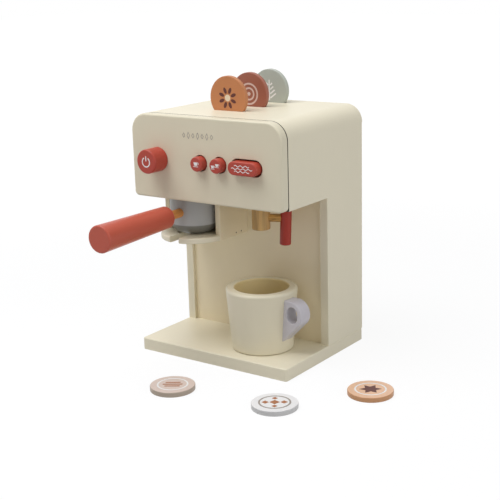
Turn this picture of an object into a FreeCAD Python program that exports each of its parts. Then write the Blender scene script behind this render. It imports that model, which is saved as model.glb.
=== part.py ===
import FreeCAD, Part
import math
import os

from FreeCAD import Vector

# Frame: origin in the middle of the base's underside, X to the right seen from the front,
# Y to the back, Z up. All sizes in millimetres, angles in degrees.

# Housing boards
WIDTH = 180.0
DEPTH = 145.0
HEIGHT = 248.0
BASE_THICK = 12.5
BOARD_THICK = 9.0
THIN_BOARD = 6.0
FRONT_THICK = 10.0
HEAD_BOTTOM = 164.5
COLUMN_FRONT = 5.0
COLUMN_RECESS = 3.5
FLOOR_RECESS = 3.5
CORNER_RADIUS = 18.0
FRONT_BOTTOM_RADIUS = 5.0
FRONT_EDGE_ROUND = 2.0
SEAM_WIDTH = 1.0
SEAM_DEPTH = 1.6
BASE_CORNER_ROUND = 2.5
BASE_EDGE_ROUND = 1.2
BOARD_EDGE_ROUND = 1.0

# Dowels that hold the side panels on the base
DOWEL_RADIUS = 3.0
DOWEL_LENGTH = 22.0
DOWEL_IN_BASE = 8.0
DOWEL_INSET = 14.0

# Controls on the front panel
CONTROL_Z = 204.0
KNOB_X = -56.6
KNOB_RADIUS = 12.0
KNOB_LENGTH = 18.5
KNOB_EDGE_ROUND = 1.5
KNOB_AXLE_RADIUS = 3.0
KNOB_AXLE_DEPTH = 11.0
KNOB_COLLAR_RADIUS = 8.0
KNOB_COLLAR_THICK = 4.0
ONE_CUP_X = -4.2
TWO_CUP_X = 18.8
ROUND_BUTTON_RADIUS = 7.1
ROUND_BUTTON_GAP = 1.0
WIDE_BUTTON_LEFT = 33.2
WIDE_BUTTON_RIGHT = 66.5
WIDE_BUTTON_HALF = 6.5
WIDE_BUTTON_GAP = 1.7
BUTTON_OUT = 7.5
BUTTON_EDGE_ROUND = 1.2
RETAINER_LIP = 3.0
RETAINER_THICK = 3.0
SPRING_LENGTH = 12.0
SPRING_OUTER = 4.0
SPRING_WALL = 0.8
WIDE_SPRING_INSET = 3.0
RAIL_THICK = 6.0
RAIL_HEIGHT = 20.0
RAIL_LEFT_MARGIN = 3.5
RAIL_RIGHT_MARGIN = 1.0
SPACER_WIDTH = 8.0

# Slots and discs
DISC_RADIUS = 21.5
DISC_THICK = 5.0
DISC_EDGE_ROUND = 0.8
DISC_STAND = 12.6
SLOT_X = -6.0
SLOT_BACK_INSET = 21.5
SLOT_PITCH = 36.0
SLOT_COUNT = 3
SLOT_GAP = 0.35
LEFT_DISC_X = 8.1
LEFT_DISC_Y = -143.5
MIDDLE_DISC_X = 114.5
MIDDLE_DISC_Y = -128.3
RIGHT_DISC_X = 172.3
RIGHT_DISC_Y = -56.1

# Holder under the head
HOLDER_X = -45.0
HOLDER_Y = -33.5
HOLDER_INNER_HALF = 29.15
HOLDER_WALL_FRONT = -38.0
HOLDER_PLATE_BOTTOM = 118.7
NOTCH_WIDTH = 11.3
PLATE_EDGE_ROUND = 1.8
BRAD_RADIUS = 0.8
BRAD_LENGTH = 14.0
BRAD_BACK_INSET = 10.8
BRAD_PITCH = 8.7
BRADS_A_SIDE = 2

# Portafilter
BASKET_RADIUS = 25.0
BASKET_HEIGHT = 38.0
BASKET_ROUND = 12.0
BASKET_DISH_RADIUS = 21.0
BASKET_DISH_DEPTH = 9.0
BASKET_RIM_ROUND = 1.0
HANDLE_RISE = 23.2
HANDLE_TURN = 2.0
HANDLE_START = 46.0
HANDLE_LENGTH = 101.0
HANDLE_NEAR_RADIUS = 11.1
HANDLE_FAR_RADIUS = 13.3
HANDLE_NEAR_ROUND = 3.0
HANDLE_FAR_ROUND = 1.6
NECK_RADIUS = 4.5
NECK_SEAT = 14.0
SPOUT_RADIUS = 5.0
SPOUT_BELOW_PLATE = 6.0
SPOUT_SEAT = 10.0
SPOUT_CHAMFER = 1.0

# Steam wand
POST_X = 35.0
POST_Y = -30.0
POST_RADIUS = 9.0
POST_BELOW_ARM = 11.5
POST_EDGE_ROUND = 1.0
SPIGOT_RADIUS = 5.0
WASHER_RADIUS = 9.0
WASHER_THICK = 3.0
ARM_RADIUS = 3.9
ARM_Z = 146.5
ARM_TURN = 22.0
ARM_SEAT = 6.0
FLUTE_COUNT = 10
FLUTE_RADIUS = 0.55
WAND_REACH = 25.0
WAND_RADIUS = 5.6
WAND_BELOW_ARM = 26.5
WAND_LENGTH = 37.0
WAND_LEAN = 2.6
WAND_EDGE_ROUND = 1.2

# Cup
CUP_X = 32.5
CUP_HEIGHT = 63.0
CUP_TOP_RADIUS = 36.2
CUP_BOTTOM_RADIUS = 31.1
CUP_BORE_RADIUS = 27.3
CUP_BORE_FLOOR_RADIUS = 23.5
CUP_FLOOR_THICK = 8.0
CUP_RIM_ROUND = 2.8
CUP_MOUTH_ROUND = 1.5
CUP_FOOT_ROUND = 1.5
CUP_TO_COLUMN = 0.8
CUP_HANDLE_TURN = 5.0
CUP_HANDLE_THICK = 15.0
CUP_HANDLE_ROUND = 14.0
CUP_HANDLE_REACH = 55.5
CUP_HANDLE_TOP = 56.0
CUP_HANDLE_FOOT = 13.0
CUP_HANDLE_EDGE_ROUND = 1.2
FINGER_HOLE_WIDTH = 12.5
FINGER_HOLE_HEIGHT = 16.8
FINGER_HOLE_OUTER_WALL = 5.3
FINGER_HOLE_ROUND = 0.6

# Clearances
RUNNING_GAP = 0.05
REST_GAP = 0.3

# Two lengths that differ by less than this count as equal
TOLERANCE = 1e-3

# Planes and places worked out from the sizes above
HALF_WIDTH = WIDTH / 2
FRONT_Y = -DEPTH / 2
BACK_Y = DEPTH / 2
BOX_FRONT_Y = FRONT_Y + FRONT_THICK
SIDE_INNER_X = HALF_WIDTH - BOARD_THICK
TOP_UNDER_Z = HEIGHT - BOARD_THICK
RAIL_FOOT_Z = HEIGHT - CORNER_RADIUS
PANEL_FRONT_Y = COLUMN_FRONT + COLUMN_RECESS
PANEL_BACK_Y = PANEL_FRONT_Y + THIN_BOARD
FLOOR_UNDER_Z = HEAD_BOTTOM + FLOOR_RECESS
FLOOR_TOP_Z = FLOOR_UNDER_Z + THIN_BOARD
PLATE_TOP_Z = HOLDER_PLATE_BOTTOM + THIN_BOARD
HOLDER_OUTER_HALF = HOLDER_INNER_HALF + THIN_BOARD
BASKET_FOOT_Z = PLATE_TOP_Z + REST_GAP
HANDLE_Z = BASKET_FOOT_Z + HANDLE_RISE
RETAINER_FRONT_Y = BOX_FRONT_Y + REST_GAP
RETAINER_BACK_Y = RETAINER_FRONT_Y + RETAINER_THICK
RAIL_FRONT_Y = RETAINER_BACK_Y + SPRING_LENGTH
RAIL_BACK_Y = RAIL_FRONT_Y + RAIL_THICK
CUP_Y = PANEL_FRONT_Y - CUP_TO_COLUMN - CUP_TOP_RADIUS
CUP_FOOT_Z = BASE_THICK + REST_GAP
POST_BOTTOM = ARM_Z - POST_BELOW_ARM
DISC_CENTRE_Z = HEIGHT + DISC_STAND

UP = Vector(0, 0, 1)
BACKWARD = Vector(0, 1, 0)
SIDEWAYS = Vector(1, 0, 0)


def save(node, shape):
    shape.exportStep("parts/" + node + ".step")


def block(x0, x1, y0, y1, z0, z1):
    return Part.makeBox(x1 - x0, y1 - y0, z1 - z0, Vector(x0, y0, z0))


def rod(start, direction, radius, length):
    return Part.makeCylinder(radius, length, start, direction)


def rounded(shape, radius, chosen):
    """Round the edges for which chosen(edge) is true."""
    edges = [edge for edge in shape.Edges if chosen(edge)]
    return shape.makeFillet(radius, edges)


def lies_on(edge, coordinate, value):
    """True where the whole edge lies on the plane coordinate = value."""
    box = edge.BoundBox
    low = getattr(box, coordinate + "Min")
    high = getattr(box, coordinate + "Max")
    return abs(low - value) < TOLERANCE and abs(high - value) < TOLERANCE


def upright(edge):
    box = edge.BoundBox
    return box.XLength < TOLERANCE and box.YLength < TOLERANCE and box.ZLength > TOLERANCE


def is_circle(edge):
    return edge.Curve.TypeId == "Part::GeomCircle"


def turned(points):
    """A turned piece: straight runs through (radius, z) points, spun about Z."""
    path = Part.makePolygon([Vector(radius, 0, z) for radius, z in points + points[:1]])
    return Part.Face(path).revolve(Vector(0, 0, 0), UP, 360)


def stadium(left, right, half, y0, y1, z):
    """A bar along Y with a section of two half circles and straight runs."""
    middle = block(left + half, right - half, y0, y1, z - half, z + half)
    ends = [rod(Vector(x, y0, z), BACKWARD, half, y1 - y0) for x in (left + half, right - half)]
    return middle.fuse(ends).removeSplitter()


def rounded_front(y0, y1, inset):
    """The head's front outline, with large top corners and small bottom corners, drawn in by the inset."""
    top = CORNER_RADIUS - inset
    low = FRONT_BOTTOM_RADIUS - inset
    side_x = HALF_WIDTH - inset
    top_z = HEIGHT - inset
    low_z = HEAD_BOTTOM + inset
    cos45 = math.cos(math.radians(45))

    def corner(x, z, radius, from_x, from_z):
        centre = Vector(x - from_x * radius, y0, z - from_z * radius)
        middle = centre + Vector(from_x * radius * cos45, 0, from_z * radius * cos45)
        side = centre + Vector(from_x * radius, 0, 0)
        level = centre + Vector(0, 0, from_z * radius)
        return side, middle, level

    right_low = corner(side_x, low_z, low, 1, -1)
    right_top = corner(side_x, top_z, top, 1, 1)
    left_top = corner(-side_x, top_z, top, -1, 1)
    left_low = corner(-side_x, low_z, low, -1, -1)
    edges = [
        Part.Arc(right_low[2], right_low[1], right_low[0]).toShape(),
        Part.LineSegment(right_low[0], right_top[0]).toShape(),
        Part.Arc(right_top[0], right_top[1], right_top[2]).toShape(),
        Part.LineSegment(right_top[2], left_top[2]).toShape(),
        Part.Arc(left_top[2], left_top[1], left_top[0]).toShape(),
        Part.LineSegment(left_top[0], left_low[0]).toShape(),
        Part.Arc(left_low[0], left_low[1], left_low[2]).toShape(),
        Part.LineSegment(left_low[2], right_low[2]).toShape(),
    ]
    return Part.Face(Part.Wire(edges)).extrude(Vector(0, y1 - y0, 0))


# Housing

def base_dowel_places():
    ys = (COLUMN_FRONT + DOWEL_INSET, BACK_Y - DOWEL_INSET)
    xs = (-HALF_WIDTH + BOARD_THICK / 2, HALF_WIDTH - BOARD_THICK / 2)
    return [Vector(x, y, BASE_THICK - DOWEL_IN_BASE) for x in xs for y in ys]


def base_dowels():
    return Part.makeCompound([rod(place, UP, DOWEL_RADIUS, DOWEL_LENGTH) for place in base_dowel_places()])


def base_board():
    board = block(-HALF_WIDTH, HALF_WIDTH, FRONT_Y, BACK_Y, 0, BASE_THICK)
    board = rounded(board, BASE_CORNER_ROUND, upright)
    board = rounded(board, BASE_EDGE_ROUND, lambda edge: lies_on(edge, "Z", BASE_THICK))
    return board.cut(base_dowels())


def side_panel(side):
    """A board cut to the shape of a capital gamma: a column with the head standing out in front."""
    outline = [
        (COLUMN_FRONT, BASE_THICK),
        (BACK_Y, BASE_THICK),
        (BACK_Y, RAIL_FOOT_Z),
        (BOX_FRONT_Y, RAIL_FOOT_Z),
        (BOX_FRONT_Y, HEAD_BOTTOM),
        (COLUMN_FRONT, HEAD_BOTTOM),
    ]
    inner = SIDE_INNER_X if side > 0 else -HALF_WIDTH
    points = [Vector(inner, y, z) for y, z in outline]
    board = Part.Face(Part.makePolygon(points + points[:1])).extrude(SIDEWAYS * BOARD_THICK)
    outer = side * HALF_WIDTH

    def soft_edge(edge):
        box = edge.BoundBox
        at_foot = box.ZMax < BASE_THICK + TOLERANCE
        at_rail = box.ZMin > RAIL_FOOT_Z - TOLERANCE
        at_front = lies_on(edge, "Y", BOX_FRONT_Y)
        return lies_on(edge, "X", outer) and not (at_foot or at_rail or at_front)

    board = rounded(board, BOARD_EDGE_ROUND, soft_edge)
    return board.cut(base_dowels())


def corner_rail(side):
    """A quarter round moulding, rebated inside to carry the top panel and sit on the side panel."""
    centre_x = HALF_WIDTH - CORNER_RADIUS
    quarter = Part.makeCylinder(
        CORNER_RADIUS, BACK_Y - BOX_FRONT_Y, Vector(centre_x, BOX_FRONT_Y, RAIL_FOOT_Z), BACKWARD
    )
    keep = block(centre_x, HALF_WIDTH, BOX_FRONT_Y, BACK_Y, RAIL_FOOT_Z, HEIGHT)
    rebate = block(centre_x, SIDE_INNER_X, BOX_FRONT_Y, BACK_Y, RAIL_FOOT_Z, TOP_UNDER_Z)
    rail = quarter.common(keep).cut(rebate)
    if side < 0:
        rail = rail.mirror(Vector(0, 0, 0), SIDEWAYS)
    return rail


def slot_places():
    """The slots' middles from front to rear, counted from the one nearest the back."""
    rear = BACK_Y - SLOT_BACK_INSET
    return [rear - number * SLOT_PITCH for number in reversed(range(SLOT_COUNT))]


def slot_half_length():
    return math.sqrt(DISC_RADIUS ** 2 - DISC_STAND ** 2) + SLOT_GAP


def top_panel():
    half = HALF_WIDTH - CORNER_RADIUS
    panel = block(-half, half, BOX_FRONT_Y, BACK_Y, TOP_UNDER_Z, HEIGHT)
    slot_half = slot_half_length()
    width_half = DISC_THICK / 2 + SLOT_GAP
    for y in slot_places():
        slot = block(SLOT_X - slot_half, SLOT_X + slot_half, y - width_half, y + width_half, TOP_UNDER_Z, HEIGHT)
        panel = panel.cut(slot)
    return panel


def round_hole(x):
    start = Vector(x, FRONT_Y, CONTROL_Z)
    return rod(start, BACKWARD, ROUND_BUTTON_RADIUS + ROUND_BUTTON_GAP, FRONT_THICK)


def front_panel():
    """The rounded face of the head, rebated at the back to leave a shadow line round the box."""
    seam_y = BOX_FRONT_Y - SEAM_WIDTH
    panel = rounded_front(FRONT_Y, seam_y, 0)
    panel = rounded(panel, FRONT_EDGE_ROUND, lambda edge: lies_on(edge, "Y", FRONT_Y))
    panel = panel.fuse(rounded_front(seam_y, BOX_FRONT_Y, SEAM_DEPTH))
    wide_left = WIDE_BUTTON_LEFT - WIDE_BUTTON_GAP
    wide_right = WIDE_BUTTON_RIGHT + WIDE_BUTTON_GAP
    wide_half = WIDE_BUTTON_HALF + WIDE_BUTTON_GAP
    holes = [round_hole(ONE_CUP_X), round_hole(TWO_CUP_X)]
    holes.append(stadium(wide_left, wide_right, wide_half, FRONT_Y, BOX_FRONT_Y, CONTROL_Z))
    axle_hole = Vector(KNOB_X, FRONT_Y, CONTROL_Z)
    holes.append(rod(axle_hole, BACKWARD, KNOB_AXLE_RADIUS + RUNNING_GAP, FRONT_THICK))
    return panel.cut(holes)


def back_panel():
    return block(-SIDE_INNER_X, SIDE_INNER_X, BACK_Y - THIN_BOARD, BACK_Y, BASE_THICK, TOP_UNDER_Z)


def column_front_panel():
    return block(-SIDE_INNER_X, SIDE_INNER_X, PANEL_FRONT_Y, PANEL_BACK_Y, BASE_THICK, FLOOR_UNDER_Z)


def head_floor_panel():
    panel = block(-SIDE_INNER_X, SIDE_INNER_X, BOX_FRONT_Y, PANEL_BACK_Y, FLOOR_UNDER_Z, FLOOR_TOP_Z)
    spigot_hole = Vector(POST_X, POST_Y, FLOOR_UNDER_Z)
    return panel.cut(rod(spigot_hole, UP, SPIGOT_RADIUS + RUNNING_GAP, THIN_BOARD))


# Holder for the portafilter

def holder_brads():
    """Two brads through each wall into the edge of the floor plate."""
    height = HOLDER_PLATE_BOTTOM + THIN_BOARD / 2
    brads = []
    for side in (-1, 1):
        for number in range(BRADS_A_SIDE):
            y = PANEL_FRONT_Y - BRAD_BACK_INSET - number * BRAD_PITCH
            start = Vector(HOLDER_X + side * HOLDER_OUTER_HALF, y, height)
            brads.append(rod(start, SIDEWAYS * -side, BRAD_RADIUS, BRAD_LENGTH))
    return Part.makeCompound(brads)


def holder_wall(side):
    edges = sorted((HOLDER_X + side * HOLDER_INNER_HALF, HOLDER_X + side * HOLDER_OUTER_HALF))
    wall = block(edges[0], edges[1], HOLDER_WALL_FRONT, PANEL_FRONT_Y, HOLDER_PLATE_BOTTOM, FLOOR_UNDER_Z)
    wall = rounded(wall, BOARD_EDGE_ROUND, lambda edge: upright(edge) and lies_on(edge, "Y", HOLDER_WALL_FRONT))
    return wall.cut(holder_brads())


def holder_floor_plate():
    """A plate between the walls with a round nose in front of them, notched for the spout."""
    between = block(
        HOLDER_X - HOLDER_INNER_HALF,
        HOLDER_X + HOLDER_INNER_HALF,
        HOLDER_WALL_FRONT,
        PANEL_FRONT_Y,
        HOLDER_PLATE_BOTTOM,
        PLATE_TOP_Z,
    )
    nose = rod(Vector(HOLDER_X, HOLDER_Y, HOLDER_PLATE_BOTTOM), UP, HOLDER_OUTER_HALF, THIN_BOARD)
    reach = 2 * HOLDER_OUTER_HALF
    front_half = block(
        HOLDER_X - reach, HOLDER_X + reach, HOLDER_Y - reach, HOLDER_WALL_FRONT, HOLDER_PLATE_BOTTOM, PLATE_TOP_Z
    )
    nose = nose.common(front_half)
    nose = rounded(nose, PLATE_EDGE_ROUND, is_circle)
    plate = between.fuse(nose).removeSplitter()
    half = NOTCH_WIDTH / 2
    notch = rod(Vector(HOLDER_X, HOLDER_Y, HOLDER_PLATE_BOTTOM), UP, half, THIN_BOARD)
    mouth = block(
        HOLDER_X - half, HOLDER_X + half, HOLDER_Y - reach, HOLDER_Y, HOLDER_PLATE_BOTTOM, PLATE_TOP_Z
    )
    return plate.cut([notch, mouth]).cut(holder_brads())


# Portafilter

def handle_direction():
    angle = math.radians(HANDLE_TURN)
    return Vector(math.sin(angle), -math.cos(angle), 0)


def on_handle_axis(distance):
    return Vector(HOLDER_X, HOLDER_Y, HANDLE_Z) + handle_direction() * distance


def neck_dowel():
    start = BASKET_RADIUS - NECK_SEAT
    length = HANDLE_START + NECK_SEAT - start
    return rod(on_handle_axis(start), handle_direction(), NECK_RADIUS, length)


def spout_peg():
    foot = HOLDER_PLATE_BOTTOM - SPOUT_BELOW_PLATE
    top = BASKET_FOOT_Z + SPOUT_SEAT - REST_GAP
    peg = rod(Vector(HOLDER_X, HOLDER_Y, foot), UP, SPOUT_RADIUS, top - foot)
    return peg.makeChamfer(SPOUT_CHAMFER, [edge for edge in peg.Edges if lies_on(edge, "Z", foot)])


def filter_basket():
    rim = BASKET_FOOT_Z + BASKET_HEIGHT
    cup = turned([(0, BASKET_FOOT_Z), (BASKET_RADIUS, BASKET_FOOT_Z), (BASKET_RADIUS, rim),
                  (BASKET_DISH_RADIUS, rim), (BASKET_DISH_RADIUS, rim - BASKET_DISH_DEPTH),
                  (0, rim - BASKET_DISH_DEPTH)])
    cup = rounded(cup, BASKET_ROUND, lambda edge: lies_on(edge, "Z", BASKET_FOOT_Z) and edge.Closed)
    cup = rounded(cup, BASKET_RIM_ROUND, lambda edge: lies_on(edge, "Z", rim) and edge.Closed)
    cup.translate(Vector(HOLDER_X, HOLDER_Y, 0))
    bore = rod(Vector(HOLDER_X, HOLDER_Y, BASKET_FOOT_Z), UP, SPOUT_RADIUS + RUNNING_GAP, SPOUT_SEAT)
    return cup.cut(neck_dowel()).cut(bore)


def portafilter_handle():
    """A tapered grip, thinner at the neck, turned between centres."""
    grip = Part.makeCone(
        HANDLE_NEAR_RADIUS, HANDLE_FAR_RADIUS, HANDLE_LENGTH, on_handle_axis(HANDLE_START), handle_direction()
    )
    middle = (HANDLE_NEAR_RADIUS + HANDLE_FAR_RADIUS) / 2
    grip = rounded(grip, HANDLE_NEAR_ROUND, lambda edge: is_circle(edge) and edge.Curve.Radius < middle)
    grip = rounded(grip, HANDLE_FAR_ROUND, lambda edge: is_circle(edge) and edge.Curve.Radius > middle)
    return grip.cut(neck_dowel())


# Steam wand

def arm_direction():
    angle = math.radians(ARM_TURN)
    return Vector(math.cos(angle), math.sin(angle), 0)


def on_arm_axis(distance):
    return Vector(POST_X, POST_Y, ARM_Z) + arm_direction() * distance


def arm_rod():
    """The arm's full round, which is also the hole that it sits in."""
    start = POST_RADIUS - ARM_SEAT
    return rod(on_arm_axis(start), arm_direction(), ARM_RADIUS, WAND_REACH - start)


def wand_arm():
    """A fluted dowel between the post and the wand."""
    start = POST_RADIUS - ARM_SEAT
    direction = arm_direction()
    across = direction.cross(UP)
    flutes = []
    for number in range(FLUTE_COUNT):
        angle = 2 * math.pi * number / FLUTE_COUNT
        offset = (across * math.cos(angle) + UP * math.sin(angle)) * ARM_RADIUS
        flutes.append(rod(on_arm_axis(start) + offset, direction, FLUTE_RADIUS, WAND_REACH - start))
    return arm_rod().cut(flutes)


def wand_post():
    shoulder = FLOOR_UNDER_Z - REST_GAP
    post = rod(Vector(POST_X, POST_Y, POST_BOTTOM), UP, POST_RADIUS, shoulder - POST_BOTTOM)
    post = rounded(post, POST_EDGE_ROUND, lambda edge: lies_on(edge, "Z", POST_BOTTOM))
    spigot_top = FLOOR_TOP_Z + REST_GAP + WASHER_THICK
    spigot = rod(Vector(POST_X, POST_Y, shoulder), UP, SPIGOT_RADIUS, spigot_top - shoulder)
    return post.fuse(spigot).cut(arm_rod())


def post_washer():
    foot = Vector(POST_X, POST_Y, FLOOR_TOP_Z + REST_GAP)
    return rod(foot, UP, WASHER_RADIUS, WASHER_THICK).cut(rod(foot, UP, SPIGOT_RADIUS, WASHER_THICK))


def wand_tube():
    """The wand hangs from the arm's end and leans a little towards the post."""
    wand = rod(UP * -WAND_BELOW_ARM, UP, WAND_RADIUS, WAND_LENGTH)
    wand = rounded(wand, WAND_EDGE_ROUND, lambda edge: edge.Closed)
    wand.rotate(Vector(0, 0, 0), arm_direction().cross(UP), -WAND_LEAN)
    wand.translate(on_arm_axis(WAND_REACH))
    return wand.cut(arm_rod())


# Controls

def knob_axle():
    front = FRONT_Y - REST_GAP - KNOB_AXLE_DEPTH
    back = RETAINER_FRONT_Y + KNOB_COLLAR_THICK
    return rod(Vector(KNOB_X, front, CONTROL_Z), BACKWARD, KNOB_AXLE_RADIUS, back - front)


def power_knob():
    front = FRONT_Y - REST_GAP - KNOB_LENGTH
    knob = rod(Vector(KNOB_X, front, CONTROL_Z), BACKWARD, KNOB_RADIUS, KNOB_LENGTH)
    knob = rounded(knob, KNOB_EDGE_ROUND, lambda edge: lies_on(edge, "Y", front))
    return knob.cut(knob_axle())


def knob_collar():
    start = Vector(KNOB_X, RETAINER_FRONT_Y, CONTROL_Z)
    return rod(start, BACKWARD, KNOB_COLLAR_RADIUS, KNOB_COLLAR_THICK).cut(knob_axle())


def round_button(x):
    front = FRONT_Y - BUTTON_OUT
    button = rod(Vector(x, front, CONTROL_Z), BACKWARD, ROUND_BUTTON_RADIUS, RETAINER_FRONT_Y - front)
    return rounded(button, BUTTON_EDGE_ROUND, lambda edge: lies_on(edge, "Y", front))


def round_retainer(x):
    start = Vector(x, RETAINER_FRONT_Y, CONTROL_Z)
    return rod(start, BACKWARD, ROUND_BUTTON_RADIUS + RETAINER_LIP, RETAINER_THICK)


def wide_button():
    front = FRONT_Y - BUTTON_OUT
    button = stadium(WIDE_BUTTON_LEFT, WIDE_BUTTON_RIGHT, WIDE_BUTTON_HALF, front, RETAINER_FRONT_Y, CONTROL_Z)
    return rounded(button, BUTTON_EDGE_ROUND, lambda edge: lies_on(edge, "Y", front))


def wide_retainer():
    return stadium(
        WIDE_BUTTON_LEFT - RETAINER_LIP,
        WIDE_BUTTON_RIGHT + RETAINER_LIP,
        WIDE_BUTTON_HALF + RETAINER_LIP,
        RETAINER_FRONT_Y,
        RETAINER_BACK_Y,
        CONTROL_Z,
    )


def spring(x):
    """A button spring, drawn as the sleeve that its coil fills."""
    start = Vector(x, RETAINER_BACK_Y, CONTROL_Z)
    sleeve = rod(start, BACKWARD, SPRING_OUTER, SPRING_LENGTH)
    return sleeve.cut(rod(start, BACKWARD, SPRING_OUTER - SPRING_WALL, SPRING_LENGTH))


def wide_button_springs():
    inset = WIDE_BUTTON_HALF + WIDE_SPRING_INSET
    return Part.makeCompound([spring(WIDE_BUTTON_LEFT + inset), spring(WIDE_BUTTON_RIGHT - inset)])


def rail_ends():
    left = ONE_CUP_X - ROUND_BUTTON_RADIUS - RETAINER_LIP - RAIL_LEFT_MARGIN
    right = WIDE_BUTTON_RIGHT + RETAINER_LIP + RAIL_RIGHT_MARGIN
    return left, right


def button_rail():
    left, right = rail_ends()
    half = RAIL_HEIGHT / 2
    return block(left, right, RAIL_FRONT_Y, RAIL_BACK_Y, CONTROL_Z - half, CONTROL_Z + half)


def rail_spacers():
    left, right = rail_ends()
    half = RAIL_HEIGHT / 2
    blocks = [
        block(x, x + SPACER_WIDTH, BOX_FRONT_Y, RAIL_BACK_Y, CONTROL_Z - half, CONTROL_Z + half)
        for x in (left - SPACER_WIDTH, right)
    ]
    return Part.makeCompound(blocks)


# Cup

def cup_outside():
    return turned([(0, 0), (CUP_BOTTOM_RADIUS, 0), (CUP_TOP_RADIUS, CUP_HEIGHT), (0, CUP_HEIGHT)])


def cup_body():
    outside = cup_outside()
    outside = rounded(outside, CUP_RIM_ROUND, lambda edge: lies_on(edge, "Z", CUP_HEIGHT) and edge.Closed)
    outside = rounded(outside, CUP_FOOT_ROUND, lambda edge: lies_on(edge, "Z", 0) and edge.Closed)
    inside = turned([(0, CUP_FLOOR_THICK), (CUP_BORE_FLOOR_RADIUS, CUP_FLOOR_THICK),
                     (CUP_BORE_RADIUS, CUP_HEIGHT), (0, CUP_HEIGHT)])
    cup = outside.cut(inside)

    def mouth(edge):
        return lies_on(edge, "Z", CUP_HEIGHT) and edge.Closed and edge.Curve.Radius < CUP_BORE_RADIUS + TOLERANCE

    cup = rounded(cup, CUP_MOUTH_ROUND, mouth)
    cup.translate(Vector(CUP_X, CUP_Y, CUP_FOOT_Z))
    return cup


def cup_handle():
    """A thick plate: a round bow on top, and a straight run down to the cup's foot."""
    bow = Vector(CUP_HANDLE_REACH - CUP_HANDLE_ROUND, 0, CUP_HANDLE_TOP - CUP_HANDLE_ROUND)
    slope = (CUP_TOP_RADIUS - CUP_BOTTOM_RADIUS) / CUP_HEIGHT
    foot = Vector(CUP_BOTTOM_RADIUS + slope * CUP_HANDLE_FOOT, 0, CUP_HANDLE_FOOT)
    # the straight run leaves the bow where it is square to the bow's radius
    to_foot = foot - bow
    lean = math.acos(CUP_HANDLE_ROUND / to_foot.Length)
    bearing = math.atan2(to_foot.z, to_foot.x) + lean

    def on_bow(angle):
        return bow + Vector(math.cos(angle), 0, math.sin(angle)) * CUP_HANDLE_ROUND

    top = on_bow(math.pi / 2)
    tangent = on_bow(bearing)
    middle = on_bow((math.pi / 2 + bearing) / 2)
    inner_foot = Vector(0, 0, foot.z)
    inner_top = Vector(0, 0, CUP_HANDLE_TOP)
    edges = [
        Part.Arc(top, middle, tangent).toShape(),
        Part.LineSegment(tangent, foot).toShape(),
        Part.LineSegment(foot, inner_foot).toShape(),
        Part.LineSegment(inner_foot, inner_top).toShape(),
        Part.LineSegment(inner_top, top).toShape(),
    ]
    half = CUP_HANDLE_THICK / 2
    plate = Part.Face(Part.Wire(edges)).extrude(BACKWARD * CUP_HANDLE_THICK)
    plate.translate(BACKWARD * -half)

    def on_side(edge):
        return lies_on(edge, "Y", -half) or lies_on(edge, "Y", half)

    plate = rounded(
        plate, CUP_HANDLE_EDGE_ROUND, lambda edge: on_side(edge) and edge.BoundBox.XMax > foot.x + TOLERANCE
    )
    hole_right = CUP_HANDLE_REACH - FINGER_HOLE_OUTER_WALL
    hole_left = hole_right - FINGER_HOLE_WIDTH
    radius = FINGER_HOLE_WIDTH / 2
    straight = FINGER_HOLE_HEIGHT / 2 - radius
    hole = block(hole_left, hole_right, -half, half, bow.z - straight, bow.z + straight)
    for z in (bow.z - straight, bow.z + straight):
        hole = hole.fuse(rod(Vector(hole_left + radius, -half, z), BACKWARD, radius, CUP_HANDLE_THICK))
    plate = plate.cut(hole.removeSplitter())

    def hole_rim(edge):
        box = edge.BoundBox
        between = box.XMin > hole_left - TOLERANCE and box.XMax < hole_right + TOLERANCE
        return on_side(edge) and between and box.ZMax < CUP_HANDLE_TOP - TOLERANCE

    plate = rounded(plate, FINGER_HOLE_ROUND, hole_rim)
    plate = plate.cut(cup_outside())
    plate.rotate(Vector(0, 0, 0), UP, -CUP_HANDLE_TURN)
    plate.translate(Vector(CUP_X, CUP_Y, CUP_FOOT_Z))
    return plate


# Discs

def coin():
    disc = rod(Vector(0, 0, -DISC_THICK / 2), UP, DISC_RADIUS, DISC_THICK)
    return rounded(disc, DISC_EDGE_ROUND, lambda edge: edge.Closed)


def standing_disc(y):
    disc = coin()
    disc.rotate(Vector(0, 0, 0), SIDEWAYS, 90)
    disc.translate(Vector(SLOT_X, y, DISC_CENTRE_Z))
    return disc


def lying_disc(x, y):
    disc = coin()
    disc.translate(Vector(x, y, DISC_THICK / 2))
    return disc


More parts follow.
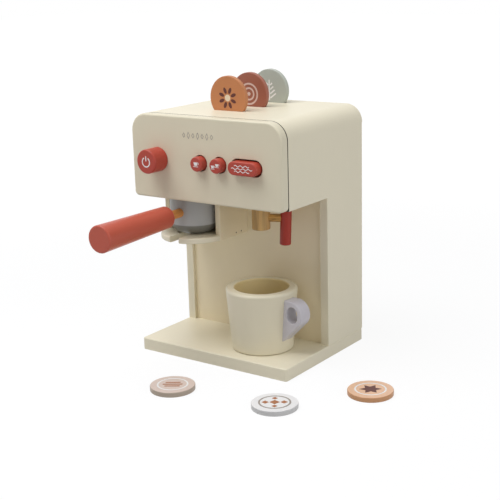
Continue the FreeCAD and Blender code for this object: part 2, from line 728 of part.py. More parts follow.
def build():
    os.makedirs("parts", exist_ok=True)
    save("base_board", base_board())
    save("base_dowels", base_dowels())
    save("left_side_panel", side_panel(-1))
    save("right_side_panel", side_panel(1))
    save("left_corner_rail", corner_rail(-1))
    save("right_corner_rail", corner_rail(1))
    save("top_panel", top_panel())
    save("front_panel", front_panel())
    save("back_panel", back_panel())
    save("column_front_panel", column_front_panel())
    save("head_floor_panel", head_floor_panel())
    save("holder_left_wall", holder_wall(-1))
    save("holder_right_wall", holder_wall(1))
    save("holder_floor_plate", holder_floor_plate())
    save("holder_brads", holder_brads())
    save("filter_basket", filter_basket())
    save("spout_peg", spout_peg())
    save("neck_dowel", neck_dowel())
    save("portafilter_handle", portafilter_handle())
    save("wand_post", wand_post())
    save("post_washer", post_washer())
    save("wand_arm", wand_arm())
    save("wand_tube", wand_tube())
    save("power_knob", power_knob())
    save("knob_axle", knob_axle())
    save("knob_collar", knob_collar())
    for name, x in (("one_cup", ONE_CUP_X), ("two_cup", TWO_CUP_X)):
        save(name + "_button", round_button(x))
        save(name + "_retainer", round_retainer(x))
        save(name + "_spring", spring(x))
    save("wide_button", wide_button())
    save("wide_retainer", wide_retainer())
    save("wide_button_springs", wide_button_springs())
    save("button_rail", button_rail())
    save("rail_spacers", rail_spacers())
    save("cup_body", cup_body())
    save("cup_handle", cup_handle())
    for name, y in zip(("front", "middle", "rear"), slot_places()):
        save(name + "_slot_disc", standing_disc(y))
    save("left_floor_disc", lying_disc(LEFT_DISC_X, LEFT_DISC_Y))
    save("middle_floor_disc", lying_disc(MIDDLE_DISC_X, MIDDLE_DISC_Y))
    save("right_floor_disc", lying_disc(RIGHT_DISC_X, RIGHT_DISC_Y))


build()
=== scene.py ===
import math

import bmesh
import bpy
from mathutils import Matrix, Vector


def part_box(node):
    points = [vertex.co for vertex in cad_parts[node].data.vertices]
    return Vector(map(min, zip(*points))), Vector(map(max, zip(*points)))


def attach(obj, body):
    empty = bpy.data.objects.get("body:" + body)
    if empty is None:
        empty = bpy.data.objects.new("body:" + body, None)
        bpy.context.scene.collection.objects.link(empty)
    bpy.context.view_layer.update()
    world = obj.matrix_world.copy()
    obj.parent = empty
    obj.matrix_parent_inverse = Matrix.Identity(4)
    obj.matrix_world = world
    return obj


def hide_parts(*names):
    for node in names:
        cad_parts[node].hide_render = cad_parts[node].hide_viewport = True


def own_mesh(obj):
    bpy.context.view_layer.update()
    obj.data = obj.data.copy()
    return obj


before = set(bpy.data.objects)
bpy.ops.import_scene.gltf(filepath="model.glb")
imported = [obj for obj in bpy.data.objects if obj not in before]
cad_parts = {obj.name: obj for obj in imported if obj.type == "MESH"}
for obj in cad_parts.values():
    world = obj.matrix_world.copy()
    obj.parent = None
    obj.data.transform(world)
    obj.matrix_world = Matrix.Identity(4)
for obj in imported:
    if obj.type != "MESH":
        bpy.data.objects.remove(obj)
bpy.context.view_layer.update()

MM = 0.001

# Camera, as the photograph was taken: metres and degrees
CAMERA_PLACE = (0.63548, -0.87813, 0.38965)
CAMERA_YAW = 35.942
CAMERA_PITCH = 14.864
CAMERA_ROLL = -1.619
CAMERA_LENS = 78.40
CAMERA_SENSOR = 36.0

# White floor: half its side in metres, the shares of plain white near the toy and far from it, its
# brightness, the paper that keeps the shadow, and where the one share passes into the other, in metres
FLOOR_REACH = 6.0
FLOOR_NEAR = 0.82
FLOOR_FAR = 0.909
FLOOR_GLOW = 1.10
FLOOR_PAPER = (0.56, 0.56, 0.56)
FLOOR_FADE_START = 0.30
FLOOR_FADE_END = 1.20

# Light: the even light from all round, and the softboxes with their place, aim and size in metres,
# power in watts and tint
WORLD_LIGHT = 0.30
COOL_TINT = (0.98, 0.99, 1.04)
WARM_TINT = (1.0, 0.95, 0.88)
SOFTBOXES = (
    ("top_softbox", (-0.35, -0.48, 1.40), (0.0, 0.0, 0.15), 1.0, 16.5, COOL_TINT),
    ("right_softbox", (1.60, -0.20, 0.70), (0.0, 0.0, 0.12), 1.2, 8.8, COOL_TINT),
    ("front_softbox", (-0.80, -1.50, 0.35), (0.0, 0.0, 0.12), 1.2, 0.7, WARM_TINT),
)

# The groove behind the front panel, and how softly the painted shade in it ends
SEAM_WIDTH = 1.0 * MM
SEAM_BLUR = 0.15 * MM

# The cup is warm inside this radius, from this far above its foot, which is within its floor
WARM_RADIUS = 27.5 * MM
WARM_FROM = 4.0 * MM

# Height of the painted shade round the basket's foot
FOOT_SHADE_BAND = 9.5 * MM

# How far in from a floor disc's rim its darker paint starts, and where it is full
RIM_START = 0.6 * MM
RIM_END = 0.2 * MM

# Coils of the button springs
WIRE = 0.8 * MM
WIRE_SIDES = 10
COIL_TURNS = 7
COIL_STEPS = 24

# Textures: features to the metre, and how many finer layers they have
MOTTLE = (16.0, 3.0)
TOOTH = (420.0, 2.0)
BRUSH = (230.0, 4.0)
BAND = (260.0, 3.0)
PORE = (1300.0, 2.0)
INK_TOOTH = (900.0, 2.0)
DRAWN = (1500.0, 2.0)

# Depth and strength of the bumps, and the tooth's share of the paint's bump
BUMP_DEPTH = 0.3 * MM
PAINT_BUMP = 0.16
WOOD_BUMP = 0.25
TOOTH_SHARE = 0.35

# Paint: how far its colour wanders to each side, the mottle's share of that, its roughness on
# boards, on the red pieces, on the grey ones and on the cup's handle, how far the roughness
# spreads, and its specular level
PAINT_WANDER = 0.035
MOTTLE_SHARE = 0.7
SATIN = 0.42
RED_SATIN = 0.36
GREY_SATIN = 0.38
HANDLE_SATIN = 0.40
PAINT_SPREAD = 0.12
PAINT_SPECULAR = 0.38

# Bare wood: where its bands turn from dark to light, how dark and light they are, how wavy they
# run, the pores' share and darkness, and its roughness, spread and specular level
BAND_STOPS = (0.36, 0.62)
BAND_DARK = 0.62
ARM_BAND_DARK = 0.6
NECK_BAND_DARK = 0.7
BAND_LIGHT = 1.08
BAND_WAVER = 0.4
PORE_SHARE = 0.5
PORE_DARK = 0.8
WOOD_ROUGHNESS = 0.45
WOOD_SPREAD = 0.2
WOOD_SPECULAR = 0.3

# Ink: its darkest and lightest tone, roughness, spread and specular level
INK_TONES = (0.93, 1.05)
INK_ROUGHNESS = 0.4
INK_SPREAD = 0.1
INK_SPECULAR = 0.35

# Steel: roughness and spread
STEEL_ROUGHNESS = 0.3
STEEL_SPREAD = 0.15

# How far brush marks and wood grain are drawn out along one axis of a piece
BRUSH_STRETCH = {"X": (0.12, 1.0, 1.0), "Y": (1.0, 0.12, 1.0), "Z": (1.0, 1.0, 0.12), None: (0.6, 1.0, 0.25)}
GRAIN_STRETCH = {"X": (0.07, 1.0, 1.0), "Y": (1.0, 0.07, 1.0), "Z": (1.0, 1.0, 0.07)}

# Faces meeting at less than this angle are shaded as one surface, in degrees
SMOOTH_ANGLE = 35.0

# Thickness of a printed mark, and how far it is lifted off the paint
PRINT_THICK = 0.10 * MM
PRINT_LIFT = 0.02 * MM

# The floor discs lie with their pictures turned towards the camera, in degrees
FLOOR_PRINT_TURN = 33.0

# Middle of the printed row on the front panel, in millimetres
ROW_X = -6.5
ROW_Z = 229.9

# Colours, linear
CREAM = (0.800, 0.738, 0.560)
# Painted shade: a darker copy of the cream for the front panel and the cup, standing in for less light on
# their fronts
CREAM_SHADED = (0.735, 0.675, 0.505)
# Painted light: a lighter, warmer copy of the cream, standing in for warm light bounced onto the column and
# the holder walls under the head
CREAM_BOUNCE_LIT = (0.880, 0.775, 0.550)
CREAM_INSIDE = (0.700, 0.570, 0.290)
# Painted shade for the groove behind the front panel
SEAM_SHADE = (0.060, 0.048, 0.032)
TERRACOTTA = (0.510, 0.094, 0.055)
BRICK_RED = (0.435, 0.055, 0.033)
DEEP_RED = (0.320, 0.019, 0.005)
GREY = (0.430, 0.430, 0.415)
# Painted shade on the basket's foot
GREY_FOOT_SHADE = (0.200, 0.195, 0.165)
LAVENDER = (0.560, 0.535, 0.560)
BEECH = (0.620, 0.390, 0.153)
ARM_WOOD = (0.640, 0.360, 0.108)
NECK_WOOD = (0.740, 0.310, 0.085)
ORANGE = (0.515, 0.200, 0.075)
BROWN = (0.340, 0.115, 0.070)
SAGE = (0.450, 0.475, 0.410)
BEIGE = (0.690, 0.560, 0.480)
WHITE = (0.840, 0.835, 0.820)
PEACH = (0.790, 0.500, 0.320)
BEIGE_RIM = (0.450, 0.370, 0.290)
WHITE_RIM = (0.610, 0.605, 0.590)
PEACH_RIM = (0.580, 0.300, 0.145)
PRINT_WHITE = (0.860, 0.840, 0.810)
PRINT_DARK = (0.110, 0.030, 0.022)
PRINT_TAN = (0.420, 0.170, 0.075)
PRINT_ROSE = (0.700, 0.520, 0.450)
PRINT_CREAM = (0.780, 0.640, 0.460)
PRINT_GREY = (0.350, 0.310, 0.270)
STEEL = (0.560, 0.560, 0.560)
# Painted shade: a near-black steel for the brads, standing in for the shade in their countersunk holes
STEEL_HOLE_SHADE = (0.100, 0.085, 0.070)
PLAIN_WHITE = (1.0, 1.0, 1.0)


# Shaders

class Value:
    """A shader socket that is added and multiplied like a number."""

    def __init__(self, tree, socket):
        self.tree = tree
        self.socket = socket

    def _math(self, operation, first, second):
        return self.tree.add("ShaderNodeMath", {"operation": operation}, {0: first, 1: second})

    def __add__(self, other):
        return self._math("ADD", self, other)

    def __radd__(self, other):
        return self._math("ADD", other, self)

    def __mul__(self, other):
        return self._math("MULTIPLY", self, other)

    def __rmul__(self, other):
        return self._math("MULTIPLY", other, self)


class Shader:
    """The nodes of a material or of the world, added one by one."""

    def __init__(self, owner):
        owner.use_nodes = True
        self.owner = owner
        self.nodes = owner.node_tree.nodes
        self.links = owner.node_tree.links
        self.nodes.clear()

    def add(self, kind, settings=None, inputs=None, output=0):
        """One node: its settings are set first, then the values or links of its sockets."""
        node = self.nodes.new(kind)
        for key, value in (settings or {}).items():
            if key == "stops":
                for stop, (position, colour) in zip(node.color_ramp.elements, value):
                    stop.position = position
                    stop.color = colour
            else:
                setattr(node, key, value)
        for key, value in (inputs or {}).items():
            if isinstance(value, Value):
                self.links.new(value.socket, node.inputs[key])
            else:
                node.inputs[key].default_value = value
        return Value(self, node.outputs[output]) if node.outputs else None

    def place(self):
        """Where a point of the surface is, in metres, in the frame's own axes."""
        return self.add("ShaderNodeTexCoord", output="Object")

    def noise(self, place, texture, distortion=0.0):
        scale, detail = texture
        inputs = {"Vector": place, "Scale": scale, "Detail": detail, "Distortion": distortion}
        return self.add("ShaderNodeTexNoise", None, inputs)

    def stretched(self, place, stretch):
        """Places scaled on each axis, so that a texture on them is drawn out along one."""
        return self.add("ShaderNodeMapping", None, {"Vector": place, "Scale": stretch})

    def ramp(self, value, start, end):
        """0 up to the start and 1 from the end on."""
        return self.add("ShaderNodeMapRange", None, {"Value": value, "From Min": start, "From Max": end})

    def mix(self, factor, first, second):
        return self.add("ShaderNodeMix", {"data_type": "RGBA"}, {0: factor, 6: first, 7: second}, output=2)

    def bump(self, strength, height):
        inputs = {"Strength": strength, "Distance": BUMP_DEPTH, "Height": height}
        return self.add("ShaderNodeBump", None, inputs)

    def reach(self, place, middle):
        """How far a place is from the upright line through a middle."""
        level = self.add("ShaderNodeVectorMath", {"operation": "MULTIPLY"}, {0: place, 1: (1.0, 1.0, 0.0)})
        ends = {0: level, 1: (middle.x, middle.y, 0.0)}
        return self.add("ShaderNodeVectorMath", {"operation": "DISTANCE"}, ends, output="Value")

    def seen_directly(self):
        """1 where the camera, a shiny surface or clear glass looks, and 0 for the light itself."""
        rays = ("Is Camera Ray", "Is Glossy Ray", "Is Transmission Ray")
        camera, shiny, clear = [self.add("ShaderNodeLightPath", output=ray) for ray in rays]
        return camera + shiny + clear

    def surface(self, **sockets):
        """A Principled surface, whose sockets are named with _ for a space."""
        inputs = {name.replace("_", " "): value for name, value in sockets.items()}
        shine = self.add("ShaderNodeBsdfPrincipled", None, inputs)
        self.add("ShaderNodeOutputMaterial", None, {"Surface": shine})
        return self.owner


def rgba(colour, gain=1.0):
    """A colour with full alpha, made lighter or darker by a gain."""
    return tuple(min(1.0, channel * gain) for channel in colour) + (1.0,)


def painted(name, colour, roughness=SATIN, turned_about=None, shade=None):
    """Satin paint on smooth wood: a faint mottle, with brush and board texture under the paint.

    A shade function, where there is one, changes the colour in a part of the piece."""
    shader = Shader(bpy.data.materials.new(name))
    place = shader.place()
    mottle = shader.noise(place, MOTTLE)
    tooth = shader.noise(place, TOOTH)
    brush = shader.noise(shader.stretched(place, BRUSH_STRETCH[turned_about]), BRUSH)
    tone = mottle * MOTTLE_SHARE + brush * (1 - MOTTLE_SHARE)
    base = shader.mix(tone, rgba(colour, 1.0 - PAINT_WANDER), rgba(colour, 1.0 + PAINT_WANDER))
    if shade:
        base = shade(shader, place, base)
    return shader.surface(
        Base_Color=base,
        Roughness=tooth * PAINT_SPREAD + (roughness - PAINT_SPREAD / 2),
        Specular_IOR_Level=PAINT_SPECULAR,
        Normal=shader.bump(PAINT_BUMP, tooth * TOOTH_SHARE + brush * (1 - TOOTH_SHARE)),
    )


def warm_inside(shader, place, base):
    """The cup's bore, which is a warmer tone than its outside."""
    low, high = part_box("cup_body")
    height = shader.add("ShaderNodeSeparateXYZ", None, {0: place}, output="Z")
    within = shader.ramp(shader.reach(place, (low + high) / 2), WARM_RADIUS + MM, WARM_RADIUS)
    above = shader.ramp(height, low.z + WARM_FROM, low.z + WARM_FROM + MM)
    return shader.mix(within * above, base, rgba(CREAM_INSIDE))


def painted_seam_shade(shader, place, base):
    """Painted shade: a dark band of colour in the groove behind the front panel, where shadow falls."""
    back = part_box("front_panel")[1].y
    depth = shader.add("ShaderNodeSeparateXYZ", None, {0: place}, output="Y")
    after = shader.ramp(depth, back - SEAM_WIDTH - SEAM_BLUR, back - SEAM_WIDTH)
    before = shader.ramp(depth, back + 2 * SEAM_BLUR, back + SEAM_BLUR)
    return shader.mix(after * before, base, rgba(SEAM_SHADE))


def painted_foot_shade(shader, place, base):
    """Painted shade on the basket's rounded foot: a darker grey band where the foot faces down."""
    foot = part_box("filter_basket")[0].z
    height = shader.add("ShaderNodeSeparateXYZ", None, {0: place}, output="Z")
    below = shader.ramp(height, foot + FOOT_SHADE_BAND + MM, foot + FOOT_SHADE_BAND)
    return shader.mix(below, base, rgba(GREY_FOOT_SHADE))


def darker_rim(node, rim):
    """A colour change for a lying disc: its paint is darker round its rim."""
    low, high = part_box(node)
    radius = (high.x - low.x) / 2

    def shade(shader, place, base):
        reach = shader.reach(place, (low + high) / 2)
        return shader.mix(shader.ramp(reach, radius - RIM_START, radius - RIM_END), base, rgba(rim))

    return shade


def bare_wood(name, colour, along, dark=BAND_DARK):
    """Sanded wood with its grain along one axis."""
    shader = Shader(bpy.data.materials.new(name))
    lay = shader.stretched(shader.place(), GRAIN_STRETCH[along])
    bands = shader.noise(lay, BAND, distortion=BAND_WAVER)
    pores = shader.noise(lay, PORE)
    stops = tuple(zip(BAND_STOPS, (rgba(colour, dark), rgba(colour, BAND_LIGHT))))
    figure = shader.add("ShaderNodeValToRGB", {"stops": stops}, {"Fac": bands})
    return shader.surface(
        Base_Color=shader.mix(pores * PORE_SHARE, figure, rgba(colour, PORE_DARK)),
        Roughness=pores * WOOD_SPREAD + WOOD_ROUGHNESS,
        Specular_IOR_Level=WOOD_SPECULAR,
        Normal=shader.bump(WOOD_BUMP, bands * (1 - PORE_SHARE) + pores * PORE_SHARE),
    )


def ink(name, colour):
    """Printing ink: flat colour with the paint's fine texture."""
    shader = Shader(bpy.data.materials.new(name))
    tooth = shader.noise(shader.place(), INK_TOOTH)
    dark, light = [rgba(colour, tone) for tone in INK_TONES]
    return shader.surface(
        Base_Color=shader.mix(tooth, dark, light),
        Roughness=tooth * INK_SPREAD + INK_ROUGHNESS,
        Specular_IOR_Level=INK_SPECULAR,
    )


def steel_wire(name, colour):
    """Drawn steel, with fine differences in its polish."""
    shader = Shader(bpy.data.materials.new(name))
    roughness = shader.noise(shader.place(), DRAWN) * STEEL_SPREAD + STEEL_ROUGHNESS
    return shader.surface(Base_Color=rgba(colour), Metallic=1.0, Roughness=roughness)


def white_paper():
    """It keeps a soft shadow near the toy, and fades to plain white away from it."""
    shader = Shader(bpy.data.materials.new("white_paper"))
    reach = shader.add("ShaderNodeVectorMath", {"operation": "LENGTH"}, {0: shader.place()}, output="Value")
    fade = {"Value": reach, "From Min": FLOOR_FADE_START, "From Max": FLOOR_FADE_END}
    away = shader.add("ShaderNodeMapRange", {"interpolation_type": "SMOOTHSTEP"}, fade)
    matte = shader.add("ShaderNodeBsdfDiffuse", None, {"Color": rgba(FLOOR_PAPER)})
    glow = shader.add("ShaderNodeEmission", None, {"Color": rgba(PLAIN_WHITE), "Strength": FLOOR_GLOW})
    share = shader.seen_directly() * (FLOOR_NEAR + away * (FLOOR_FAR - FLOOR_NEAR))
    mixed = shader.add("ShaderNodeMixShader", None, {0: share, 1: matte, 2: glow})
    shader.add("ShaderNodeOutputMaterial", None, {"Surface": mixed})
    return shader.owner


# Meshes

def object_from(name, shape, material):
    """Makes an object of a bmesh whose points are in metres, in the frame's own axes."""
    mesh = bpy.data.meshes.new(name)
    shape.to_mesh(mesh)
    shape.free()
    mesh.polygons.foreach_set("use_smooth", [True] * len(mesh.polygons))
    mesh.set_sharp_from_angle(angle=math.radians(SMOOTH_ANGLE))
    mesh.materials.append(material)
    piece = bpy.data.objects.new(name, mesh)
    bpy.context.scene.collection.objects.link(piece)
    return piece


class Plane:
    """A flat place for printed marks: a middle in millimetres, and the directions right and up."""

    def __init__(self, middle, right, up):
        self.middle = Vector(middle) * MM
        self.right = Vector(right)
        self.up = Vector(up)
        self.out = self.right.cross(self.up)

    def matrix(self):
        turn = Matrix((self.right, self.up, self.out)).transposed().to_4x4()
        return Matrix.Translation(self.middle + self.out * PRINT_LIFT) @ turn


def on_plane(x, y, turn=0.0, wide=1.0, high=1.0):
    """Where a stroke goes on its plane: its middle and size in millimetres, its turn in degrees."""
    size = Matrix.Diagonal((wide * MM, high * MM, 1.0, 1.0))
    return Matrix.Translation((x * MM, y * MM, 0.0)) @ Matrix.Rotation(math.radians(turn), 4, "Z") @ size


def add_oval(shape, x, y, wide, high, turn=0.0, corners=28):
    """An oval, or with few corners a diamond or the like, whose first corner is at its top."""
    matrix = on_plane(x, y, turn, wide, high)
    return bmesh.ops.create_circle(shape, cap_ends=True, segments=corners, radius=0.5, matrix=matrix)["verts"]


def add_block(shape, x, y, wide, high, turn=0.0, foot=1.0):
    """A four-sided stroke, whose foot is a share of its width."""
    verts = bmesh.ops.create_grid(shape, x_segments=1, y_segments=1, size=0.5)["verts"]
    lower = [vert for vert in verts if vert.co.y < 0]
    bmesh.ops.scale(shape, verts=lower, vec=(foot, 1.0, 1.0))
    bmesh.ops.transform(shape, verts=verts, matrix=on_plane(x, y, turn, wide, high))


def add_bar(shape, x0, y0, x1, y1, width):
    """A straight stroke between two points."""
    turn = math.degrees(math.atan2(y1 - y0, x1 - x0))
    add_block(shape, (x0 + x1) / 2, (y0 + y1) / 2, math.hypot(x1 - x0, y1 - y0), width, turn)


def add_arc(shape, x, y, radius, width, start, sweep, steps=32):
    """A curved stroke round a point, spun from a start angle through a sweep, in degrees."""
    matrix = on_plane(x, y, start)
    ends = [shape.verts.new(matrix @ Vector((radius + side * width / 2, 0.0, 0.0))) for side in (-1, 1)]
    edge = shape.edges.new(ends)
    bmesh.ops.spin(
        shape,
        geom=ends + [edge],
        cent=(x * MM, y * MM, 0.0),
        axis=(0.0, 0.0, 1.0),
        angle=math.radians(sweep),
        steps=steps,
        use_merge=sweep == 360,
    )


def add_wave(shape, y, length, height, turns, width):
    """A level wavy stroke: a long narrow grid lifted along a sine."""
    matrix = on_plane(0.0, y, 0.0, length, width)
    grid = bmesh.ops.create_grid(shape, x_segments=16 * turns, y_segments=1, size=0.5, matrix=matrix)
    for vert in grid["verts"]:
        share = vert.co.x / (length * MM) + 0.5
        vert.co.y += math.sin(2 * math.pi * turns * share) * height * MM / 2


def printed(name, plane, material, body, draw):
    """A mark drawn flat with strokes, thickened into a layer of ink and set on its plane."""
    shape = bmesh.new()
    draw(shape)
    layer = bmesh.ops.extrude_face_region(shape, geom=shape.faces[:])["geom"]
    raised = [item for item in layer if isinstance(item, bmesh.types.BMVert)]
    bmesh.ops.translate(shape, verts=raised, vec=(0.0, 0.0, PRINT_THICK))
    bmesh.ops.transform(shape, verts=shape.verts, matrix=plane.matrix())
    bmesh.ops.recalc_face_normals(shape, faces=shape.faces[:])
    piece = object_from(name, shape, material)
    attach(piece, body)


# Finishes

cream = painted("cream_paint", CREAM)
# The column and the holder walls get the lighter, warmer copy of the cream: painted bounce light
cream_bounce_lit = painted("cream_bounce_light_paint", CREAM_BOUNCE_LIT)
# The head's panels and rails, and the front panel, carry painted shade in the groove between them
cream_head = painted("cream_head_paint", CREAM, shade=painted_seam_shade)
# The front panel and the cup have the shaded copy of the cream: painted shade
cream_front = painted("cream_front_paint", CREAM_SHADED, shade=painted_seam_shade)
cream_cup = painted("cream_cup_paint", CREAM_SHADED, turned_about="Z", shade=warm_inside)
terracotta = painted("terracotta_paint", TERRACOTTA, RED_SATIN, turned_about="Y")
brick_red = painted("brick_red_paint", BRICK_RED, RED_SATIN, turned_about="Y")
deep_red = painted("deep_red_paint", DEEP_RED, RED_SATIN, turned_about="Z")
grey = painted("grey_paint", GREY, GREY_SATIN, turned_about="Z")
# The basket's grey has painted shade round its foot
grey_basket = painted("grey_basket_paint", GREY, GREY_SATIN, turned_about="Z", shade=painted_foot_shade)
lavender = painted("lavender_grey_paint", LAVENDER, HANDLE_SATIN)
beech_upright = bare_wood("beech_upright", BEECH, "Z")
beech_level = bare_wood("beech_level", ARM_WOOD, "X", ARM_BAND_DARK)
beech_forward = bare_wood("beech_forward", NECK_WOOD, "Y", NECK_BAND_DARK)
beige = painted("beige_paint", BEIGE, shade=darker_rim("left_floor_disc", BEIGE_RIM))
white = painted("white_paint", WHITE, shade=darker_rim("middle_floor_disc", WHITE_RIM))
peach = painted("peach_paint", PEACH, shade=darker_rim("right_floor_disc", PEACH_RIM))
steel = steel_wire("bright_steel", STEEL)
# The brads are near-black steel: painted shade of their countersunk holes
brad_hole_shade_steel = steel_wire("brad_hole_shade_steel", STEEL_HOLE_SHADE)
ink_white = ink("ink_white", PRINT_WHITE)
ink_dark = ink("ink_dark", PRINT_DARK)
ink_tan = ink("ink_tan", PRINT_TAN)
ink_rose = ink("ink_rose", PRINT_ROSE)
ink_cream = ink("ink_cream", PRINT_CREAM)
ink_grey = ink("ink_grey", PRINT_GREY)

node_finishes = (
    (cream, ("base_board", "back_panel", "head_floor_panel", "holder_floor_plate")),
    (cream_bounce_lit, ("column_front_panel", "holder_left_wall", "holder_right_wall")),
    (cream_head, ("left_side_panel", "right_side_panel", "left_corner_rail", "right_corner_rail")),
    (cream_head, ("top_panel",)),
    (cream_front, ("front_panel",)),
    (cream_cup, ("cup_body",)),
    (terracotta, ("portafilter_handle",)),
    (brick_red, ("power_knob", "one_cup_button", "two_cup_button", "wide_button")),
    (deep_red, ("wand_tube",)),
    (grey, ("spout_peg",)),
    (grey_basket, ("filter_basket",)),
    (lavender, ("cup_handle",)),
    (beech_upright, ("wand_post", "base_dowels", "rail_spacers")),
    (beech_level, ("wand_arm", "button_rail")),
    (beech_forward, ("neck_dowel", "knob_axle", "knob_collar", "post_washer")),
    (beech_forward, ("one_cup_retainer", "two_cup_retainer", "wide_retainer")),
    (brad_hole_shade_steel, ("holder_brads",)),
    (painted("orange_paint", ORANGE), ("front_slot_disc",)),
    (painted("brown_paint", BROWN), ("middle_slot_disc",)),
    (painted("sage_paint", SAGE), ("rear_slot_disc",)),
    (beige, ("left_floor_disc",)),
    (white, ("middle_floor_disc",)),
    (peach, ("right_floor_disc",)),
)
for finish, nodes in node_finishes:
    for node in nodes:
        for mesh_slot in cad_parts[node].material_slots:
            mesh_slot.material = finish


# Button springs

def coil_spring(node):
    """Wire coils in the place of the plain sleeves."""
    low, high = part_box(node)
    reach = (high.z - low.z) / 2
    middle_z = (high.z + low.z) / 2
    steps = COIL_TURNS * COIL_STEPS
    length = high.y - low.y
    pair = high.x - low.x > 3 * reach
    middles = [low.x + reach, high.x - reach] if pair else [low.x + reach]
    shape = bmesh.new()
    for x in middles:
        start = Matrix.Translation((x + reach - WIRE / 2, low.y + WIRE / 2, middle_z))
        ring = bmesh.ops.create_circle(shape, segments=WIRE_SIDES, radius=WIRE / 2, matrix=start)["verts"]
        round_edges = [edge for edge in shape.edges if edge.verts[0] in ring]
        bmesh.ops.spin(
            shape,
            geom=ring + round_edges,
            cent=(x, 0.0, middle_z),
            axis=(0.0, 1.0, 0.0),
            dvec=(0.0, (length - WIRE) / steps, 0.0),
            angle=2 * math.pi * COIL_TURNS,
            steps=steps,
        )
    bmesh.ops.holes_fill(shape, edges=shape.edges[:], sides=WIRE_SIDES)
    bmesh.ops.recalc_face_normals(shape, faces=shape.faces[:])
    piece = object_from(node + "_coil", shape, steel)
    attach(piece, "housing")
    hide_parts(node)
    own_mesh(piece)


coil_spring("one_cup_spring")
coil_spring("two_cup_spring")
coil_spring("wide_button_springs")


# Marks on the controls; inside a draw function all lengths are millimetres

def middle_of(node):
    """The middle of a node's box, in millimetres."""
    low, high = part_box(node)
    return (low + high) / 2 / MM


def front_of(node):
    """The plane on a node's front face."""
    middle = middle_of(node)
    return Plane((middle.x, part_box(node)[0].y / MM, middle.z), (1, 0, 0), (0, 0, 1))


def top_of(node, turn):
    """The plane on a node's top face, turned about the upright by an angle in degrees."""
    middle = middle_of(node)
    angle = math.radians(turn)
    right = (math.cos(angle), math.sin(angle), 0)
    up = (-math.sin(angle), math.cos(angle), 0)
    return Plane((middle.x, middle.y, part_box(node)[1].z / MM), right, up)


def draw_power(shape):
    """An open ring with an upright stroke in its gap."""
    stroke = 1.15
    add_arc(shape, 0, -0.3, radius=4.6, width=stroke, start=122, sweep=296)
    add_bar(shape, 0, 0.6, 0, 5.6, stroke)


def draw_cup(shape, x=0.0, y=0.0, size=0.85):
    """A plain cup seen from the side, with its handle and saucer."""
    add_block(shape, x, y + 0.55 * size, 5.8 * size, 3.7 * size, foot=0.655)
    handle = (x + 3.1 * size, y + 1.0 * size, 1.05 * size, 0.55 * size)
    add_arc(shape, *handle, start=-100, sweep=190, steps=14)
    add_block(shape, x, y - 2.5 * size, 6.6 * size, 0.75 * size)


def draw_two_cups(shape):
    size = 0.66
    draw_cup(shape, -2.8, -0.9, size)
    draw_cup(shape, 2.3, 0.8, size)


def draw_waves(shape):
    """Three wavy lines, the middle one longer."""
    for y, length, turns in ((2.6, 17.0, 3), (0.0, 24.0, 4), (-2.6, 17.0, 3)):
        add_wave(shape, y, length, height=1.3, turns=turns, width=0.7)


def draw_diamond_row(shape):
    """Seven open diamonds, tall and low by turns."""
    spacing = 5.6
    side = 1.5
    stroke = 0.45
    for number in range(7):
        x = spacing * (number - 3)
        high = 3.2 if number % 2 else 2.2
        points = [(x - side, 0), (x, high), (x + side, 0), (x, -high)]
        for start, end in zip(points, points[1:] + points[:1]):
            add_bar(shape, *start, *end, stroke)


printed("power_mark", front_of("power_knob"), ink_white, "knob", draw_power)
printed("one_cup_mark", front_of("one_cup_button"), ink_white, "one_cup_key", draw_cup)
printed("two_cup_mark", front_of("two_cup_button"), ink_white, "two_cup_key", draw_two_cups)
printed("wave_mark", front_of("wide_button"), ink_white, "wide_key", draw_waves)
row_place = Plane((ROW_X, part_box("front_panel")[0].y / MM, ROW_Z), (1, 0, 0), (0, 0, 1))
printed("diamond_row", row_place, ink_grey, "housing", draw_diamond_row)


# Pictures on the discs, a generic one on each

def petals(shape):
    """A flower of eight ovals round an open middle."""
    reach = 7.6
    length = 6.4
    width = 3.4
    for number in range(8):
        turn = 45.0 * number + 22.5
        angle = math.radians(turn)
        add_oval(shape, reach * math.cos(angle), reach * math.sin(angle), length, width, turn, corners=20)


def round_middle(shape):
    across = 6.6
    add_oval(shape, 0, 0, across, across)


def rings(shape):
    """Two closed rings round a dot."""
    across = 3.8
    add_oval(shape, 0, 0, across, across)
    for radius in (5.8, 10.2):
        add_arc(shape, 0, 0, radius, width=1.7, start=0, sweep=360, steps=40)


def leaf(shape):
    """A stem with pairs of slanting strokes."""
    stem = 10.5
    slant = 0.62
    add_bar(shape, 0, -stem, 0, stem, 1.2)
    for row in range(4):
        y = 5.0 - 4.4 * row
        reach = 3.6 + 1.5 * row
        for side in (-1, 1):
            add_bar(shape, side * 1.2, y, side * reach, y + reach * slant, 1.5)


def stripes(shape):
    """Three level strokes, the middle one longer."""
    for y, length in ((-4.4, 14.4), (0.0, 18.8), (4.4, 14.4)):
        add_block(shape, 0, y, length, high=2.3)


def plate_ring(shape):
    """A closed ring near the rim."""
    add_arc(shape, 0, 0, radius=14.2, width=1.6, start=0, sweep=360, steps=48)


def diamonds(shape):
    """Five diamonds in a cross, the middle one larger."""
    for x, y, size in ((-8.6, 0, 6.8), (0, 0, 9.6), (8.6, 0, 6.8), (0, -9.0, 5.6), (0, 9.0, 5.6)):
        add_oval(shape, x, y, size, size, corners=4)


def star(shape):
    """Six points: every other corner of a twelve-sided disc is drawn in."""
    across = 20.8
    drawn_in = 0.54
    corners = add_oval(shape, 0, 0, across, across, turn=30.0, corners=12)
    bmesh.ops.scale(shape, verts=corners[1::2], vec=(drawn_in, drawn_in, 1.0))


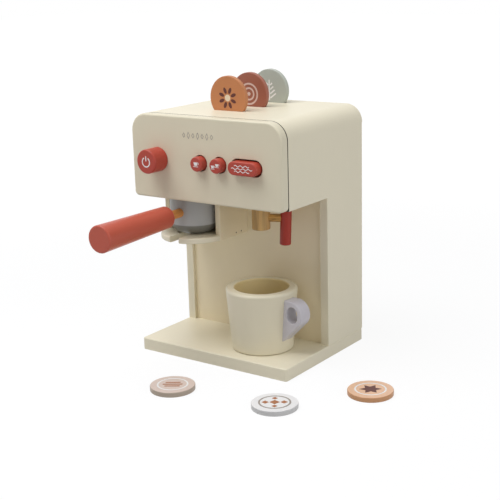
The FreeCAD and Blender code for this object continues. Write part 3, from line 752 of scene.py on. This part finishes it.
disc_marks = (
    ("front_slot_disc", "front_disc", petals, ink_dark, "brown_paint"),
    ("front_slot_disc", "front_disc", round_middle, ink_cream, "white_paint"),
    ("middle_slot_disc", "middle_disc", rings, ink_rose, "white_paint"),
    ("rear_slot_disc", "rear_disc", leaf, ink_white, "white_paint"),
    ("left_floor_disc", "left_loose_disc", stripes, ink_tan, "brown_paint"),
    ("left_floor_disc", "left_loose_disc", plate_ring, ink_white, "white_paint"),
    ("middle_floor_disc", "middle_loose_disc", diamonds, ink_tan, "orange_paint"),
    ("middle_floor_disc", "middle_loose_disc", plate_ring, ink_grey, "sage_paint"),
    ("right_floor_disc", "right_loose_disc", star, ink_dark, "brown_paint"),
    ("right_floor_disc", "right_loose_disc", plate_ring, ink_white, "white_paint"),
)
for node, body, draw, material, slot in disc_marks:
    plane = top_of(node, FLOOR_PRINT_TURN) if "floor" in node else front_of(node)
    printed(node + "_" + draw.__name__, plane, material, body, draw)


# Stage

def make_floor():
    """A level square of white paper under the toy."""
    shape = bmesh.new()
    bmesh.ops.create_grid(shape, x_segments=2, y_segments=2, size=FLOOR_REACH)
    object_from("floor", shape, white_paper())


def make_world():
    """Even light from all round, which is plain white where it is looked at."""
    world = bpy.data.worlds.new("studio")
    shader = Shader(world)
    even = shader.add("ShaderNodeBackground", None, {"Color": rgba(PLAIN_WHITE), "Strength": WORLD_LIGHT})
    white = shader.add("ShaderNodeBackground", None, {"Color": rgba(PLAIN_WHITE), "Strength": 1.0})
    mixed = shader.add("ShaderNodeMixShader", None, {0: shader.seen_directly(), 1: even, 2: white})
    shader.add("ShaderNodeOutputWorld", None, {"Surface": mixed})
    bpy.context.scene.world = world


def make_softbox(name, place, aim, size, power, tint):
    """A square lamp that faces the place that it is aimed at."""
    light = bpy.data.lights.new(name, "AREA")
    light.shape = "SQUARE"
    light.size = size
    light.energy = power
    light.color = tint
    lamp = bpy.data.objects.new(name, light)
    lamp.location = place
    lamp.rotation_euler = (Vector(aim) - Vector(place)).to_track_quat("-Z", "Y").to_euler()
    bpy.context.scene.collection.objects.link(lamp)


def make_camera():
    """The camera at the photograph's viewing angle: turned, tilted down and rolled a little."""
    lens = bpy.data.cameras.new("camera")
    lens.lens = CAMERA_LENS
    lens.sensor_width = CAMERA_SENSOR
    lens.sensor_fit = "HORIZONTAL"
    camera = bpy.data.objects.new("camera", lens)
    turn = Matrix.Rotation(math.radians(CAMERA_YAW), 4, "Z")
    tilt = Matrix.Rotation(math.radians(90.0 - CAMERA_PITCH), 4, "X")
    roll = Matrix.Rotation(math.radians(CAMERA_ROLL), 4, "Z")
    camera.matrix_world = Matrix.Translation(CAMERA_PLACE) @ turn @ tilt @ roll
    bpy.context.scene.collection.objects.link(camera)
    bpy.context.scene.camera = camera


make_floor()
make_world()
for softbox in SOFTBOXES:
    make_softbox(*softbox)
make_camera()
bpy.context.scene.view_settings.view_transform = "Standard"
